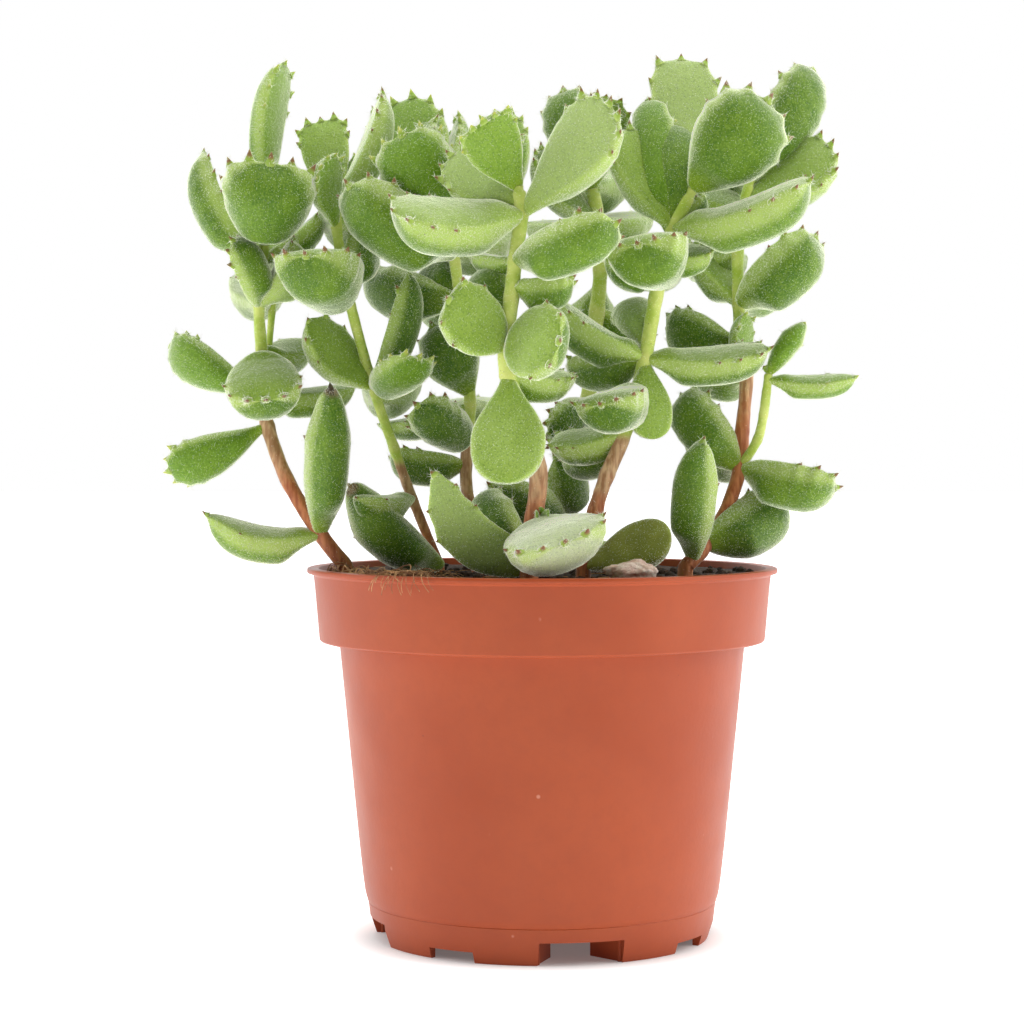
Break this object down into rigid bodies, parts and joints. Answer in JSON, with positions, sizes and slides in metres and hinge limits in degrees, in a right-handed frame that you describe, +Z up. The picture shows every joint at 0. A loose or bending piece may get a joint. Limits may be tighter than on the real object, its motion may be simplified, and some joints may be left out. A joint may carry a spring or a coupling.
{
  "type": "potted bears paw succulent",
  "caption": "Branching succulent with plump hairy leaves clawed at their ends, in a round plastic nursery pot filled with soil.",
  "frame": {"origin": "on the ground under the middle of the whole plant's bounding box; the pot's axis stands at x = +8.9 mm", "axes": "+Z up, -Y towards the viewer of the picture, +X to the viewer's right"},
  "size_m": [0.176, 0.12, 0.2251],
  "materials": {
    "pot_plastic": "terracotta coloured moulded polypropylene, slightly satin, with faint blotches and water spots",
    "peat": "dark peat potting soil with coconut fibre",
    "perlite": "rough pale expanded perlite",
    "succulent": "living leaves and stems: matte green skin under short dense white hairs, with red-brown claw tips and brown old stems"
  },
  "bodies": {
    "root": {"pot": "pot_plastic", "soil": "peat", "perlite": "perlite", "stem_left": "succulent", "stem_left_middle": "succulent", "stem_back_left": "succulent", "stem_front": "succulent", "stem_right_middle": "succulent", "stem_right": "succulent", "stem_back": "succulent"}
  },
  "joints": []
}
